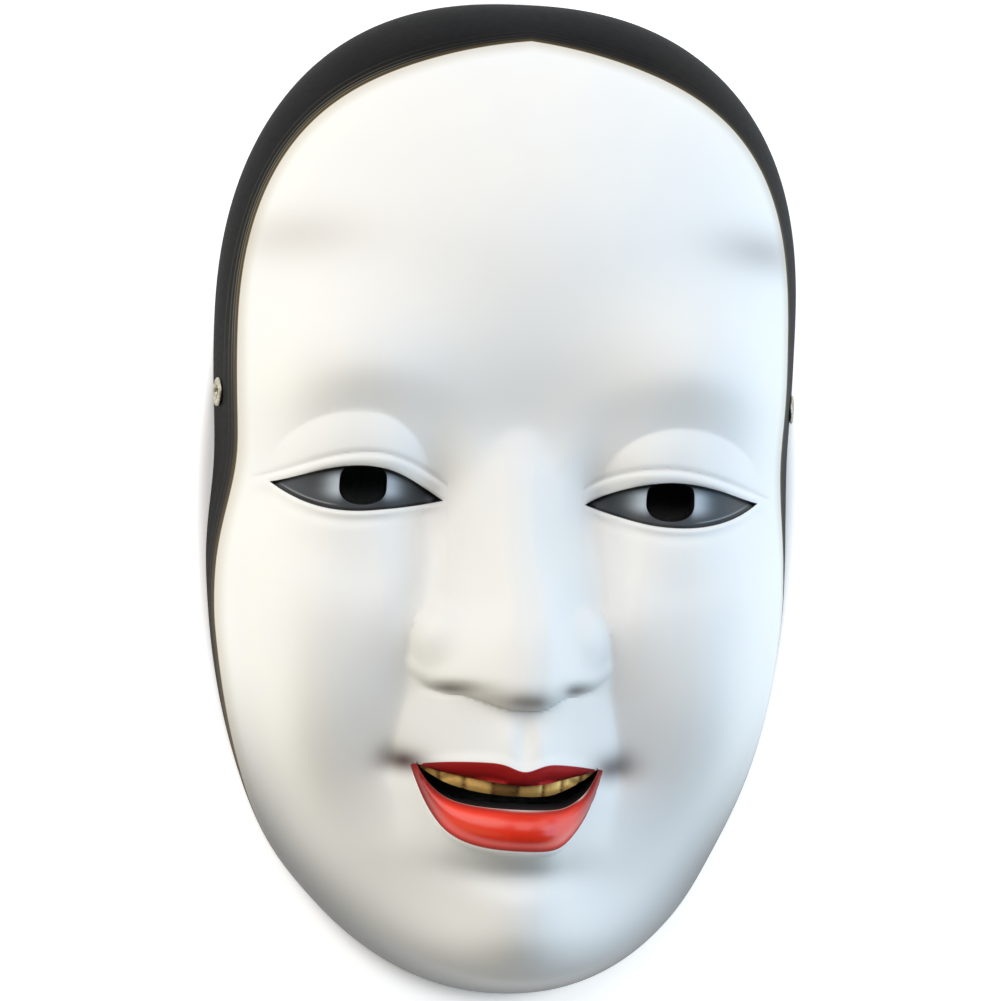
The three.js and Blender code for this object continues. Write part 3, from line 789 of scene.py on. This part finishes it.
def eyelet_tree():
    """A rolled ring on a tube, both swept round the axis Z, ring face at zero."""
    tree = bpy.data.node_groups.new("rolled_eyelet", "GeometryNodeTree")
    tree.interface.new_socket("Geometry", in_out="OUTPUT", socket_type="NodeSocketGeometry")
    sizes = {"Bore": BORE, "Ring half width": RING_HALF, "Ring half height": RING_HEIGHT,
             "Tube wall": TUBE_WALL, "Tube length": TUBE_LENGTH}
    for name, value in sizes.items():
        tree.interface.new_socket(name, in_out="INPUT", socket_type="NodeSocketFloat").default_value = value
    tree.interface.new_socket("Brass", in_out="INPUT", socket_type="NodeSocketMaterial")
    made = Paint(tree)
    given = tree.nodes.new("NodeGroupInput")
    bore, ring_half, ring_height, wall, length, brass = (
        Paint(tree, given.outputs[name]) for name in list(sizes) + ["Brass"])

    def swept(radius, profile, rise):
        """A profile carried round a circle, at a height on the axis."""
        path = made.node("GeometryNodeCurvePrimitiveCircle", {}, {"Resolution": 48, "Radius": radius})
        body = made.node("GeometryNodeCurveToMesh", {}, {"Curve": path, "Profile Curve": profile})
        offset = made.node("ShaderNodeCombineXYZ", {}, {"Z": rise})
        return made.node("GeometryNodeTransform", {}, {"Geometry": body, "Translation": offset})

    ring_round = made.node("GeometryNodeCurvePrimitiveCircle", {}, {"Resolution": 16, "Radius": 1.0})
    flat = made.node("ShaderNodeCombineXYZ", {}, {"X": ring_half, "Y": ring_height, "Z": 1.0})
    ring_round = made.node("GeometryNodeTransform", {}, {"Geometry": ring_round, "Scale": flat})
    box = made.node("GeometryNodeCurvePrimitiveQuadrilateral", {}, {"Width": wall, "Height": length})
    parts = [swept(bore + ring_half, ring_round, -ring_height),
             swept(bore + wall * 0.5, box, length * -0.5 - ring_height)]
    join = tree.nodes.new("GeometryNodeJoinGeometry")
    for part in parts:
        tree.links.new(part.socket, join.inputs[0])
    real = made.node("GeometryNodeRealizeInstances", {}, {0: Paint(tree, join.outputs[0])})
    smooth_skin = made.node("GeometryNodeSetShadeSmooth", {}, {"Geometry": real})
    painted = made.node("GeometryNodeSetMaterial", {}, {"Geometry": smooth_skin, "Material": brass})
    end = tree.nodes.new("NodeGroupOutput")
    tree.links.new(painted.socket, end.inputs[0])
    return tree


brass, shader, paint = finish_of("worn_brass", IOR=1.45)
tarnish = paint.mottle(0.0009, 3).rise(0.35, 0.7)
feed(shader, "Base Color", tarnish.over(BRASS_PALE, BRASS_DARK))
feed(shader, "Roughness", tarnish * 0.2 + 0.26)
feed(shader, "Metallic", tarnish * -0.25 + 1.0)
feed(shader, "Normal", paint.mottle(0.0004, 2).bump(0.3, 0.00004))
tree = eyelet_tree()
for side, word in ((-1, "left"), (1, "right")):
    blank = bpy.data.objects.new("eyelet_" + word + "_brass", bpy.data.meshes.new("eyelet"))
    bpy.context.scene.collection.objects.link(blank)
    modifier = blank.modifiers.new("rolled", "NODES")
    modifier.node_group = tree
    for item in tree.interface.items_tree:
        if item.name == "Brass":
            modifier[item.identifier] = brass
    graph = bpy.context.evaluated_depsgraph_get()
    solid = bpy.data.meshes.new_from_object(blank.evaluated_get(graph), depsgraph=graph)
    blank.modifiers.clear()
    turn = Matrix.Rotation(side * (math.pi / 2 - EYELET_TURN), 4, "Y")
    face = Vector((side * EYELET_FACE[0] + TEMPLE_LEAN / 1000, EYELET_FACE[1], EYELET_FACE[2]))
    solid.transform(Matrix.Translation(face) @ turn)
    blank.data = solid
    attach(blank, "root")
    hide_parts("eyelet_" + word)

# The floor: a pale table top, with nothing on it but the mask. It glows a
# little, and not under the mask, so that the pierced pupils stay dark.
TABLE_HALF, SHADE_HALF_WIDTH, SHADE_HALF_HEIGHT = 6, 0.066, 0.1105
table = bpy.data.meshes.new("table_top")
corners = [(TABLE_HALF * x, TABLE_HALF * y, 0) for x, y in ((-1, -1), (1, -1), (1, 1), (-1, 1))]
table.from_pydata(corners, [], [(0, 1, 2, 3)])
floor = bpy.data.objects.new("table_top", table)
bpy.context.scene.collection.objects.link(floor)
material, shader, paint = finish_of("table_white", Roughness=0.7, Emission_Strength=0.6)
place = paint.node("ShaderNodeTexCoord", out="Object")
shade = (1 / SHADE_HALF_WIDTH, 1 / SHADE_HALF_HEIGHT, 0)
place = paint.node("ShaderNodeMapping", {}, {"Vector": place, "Scale": shade})
away = paint.node("ShaderNodeVectorMath", {"operation": "LENGTH"}, {0: place}, out=1)
feed(shader, "Emission Color", away.rise(0.97, 1.04).over((0, 0, 0), (1, 1, 1)))
feed(shader, "Base Color", paint.mottle(0.4, 2).over((0.93, 0.93, 0.93), (0.95, 0.95, 0.95)))
table.materials.append(material)

# Light: two soft boxes on each side, warm on the left and cool on the right,
# the lower ones more so, a fifth over the crown, and a faint pale room.
BOX_DISTANCE, BOX_SIZE = 1.2, 0.9


def soft_box(name, towards, power, colour):
    """A square lamp that faces the mask from a direction."""
    light = bpy.data.lights.new(name, "AREA")
    light.shape, light.size, light.energy, light.color = "SQUARE", BOX_SIZE, power, colour
    lamp = bpy.data.objects.new(name, light)
    direction = Vector(towards).normalized()
    lamp.location = direction * BOX_DISTANCE
    lamp.rotation_euler = direction.to_track_quat("Z", "Y").to_euler()
    bpy.context.scene.collection.objects.link(lamp)


soft_box("box_left", (-0.75, 0.43, 0.50), 8.2, (1.0, 0.98, 0.94))
soft_box("box_left_low", (-0.85, -0.40, 0.34), 1.9, (1.0, 0.92, 0.55))
soft_box("box_right_high", (0.71, 0.41, 0.57), 4.7, (0.92, 0.96, 1.0))
soft_box("box_right", (0.94, -0.05, 0.34), 6.6, (0.42, 0.72, 1.0))
soft_box("box_crown", (0.00, 0.42, 0.91), 6.2, (0.97, 0.96, 1.0))
world = bpy.data.worlds.new("pale_room")
world.use_nodes = True
room = world.node_tree.nodes["Background"]
room.inputs["Color"].default_value = (0.96, 0.98, 1.0, 1)
room.inputs["Strength"].default_value = 0.03
bpy.context.scene.world = world
bpy.context.scene.view_settings.view_transform = "Standard"

# The camera: 70 cm over the face, looking straight down on it from a little
# to its left, and turned a little.
YAW, ROLL, DISTANCE, LENS = math.radians(5.8), math.radians(1.6), 0.70, 113.65
AIM = Vector((0, EYE_LINE / 1000, 0.005))
back = Vector((-math.sin(YAW), 0, math.cos(YAW)))
level, upright = Vector((math.cos(YAW), 0, math.sin(YAW))), Vector((0, 1, 0))
right = level * math.cos(ROLL) + upright * math.sin(ROLL)
up = upright * math.cos(ROLL) - level * math.sin(ROLL)
camera = bpy.data.objects.new("camera", bpy.data.cameras.new("camera"))
camera.data.lens, camera.data.sensor_width = LENS, 36
turned = Matrix((right, up, back)).transposed().to_4x4()
camera.matrix_world = Matrix.Translation(AIM + back * DISTANCE) @ turned
bpy.context.scene.collection.objects.link(camera)
bpy.context.scene.camera = camera
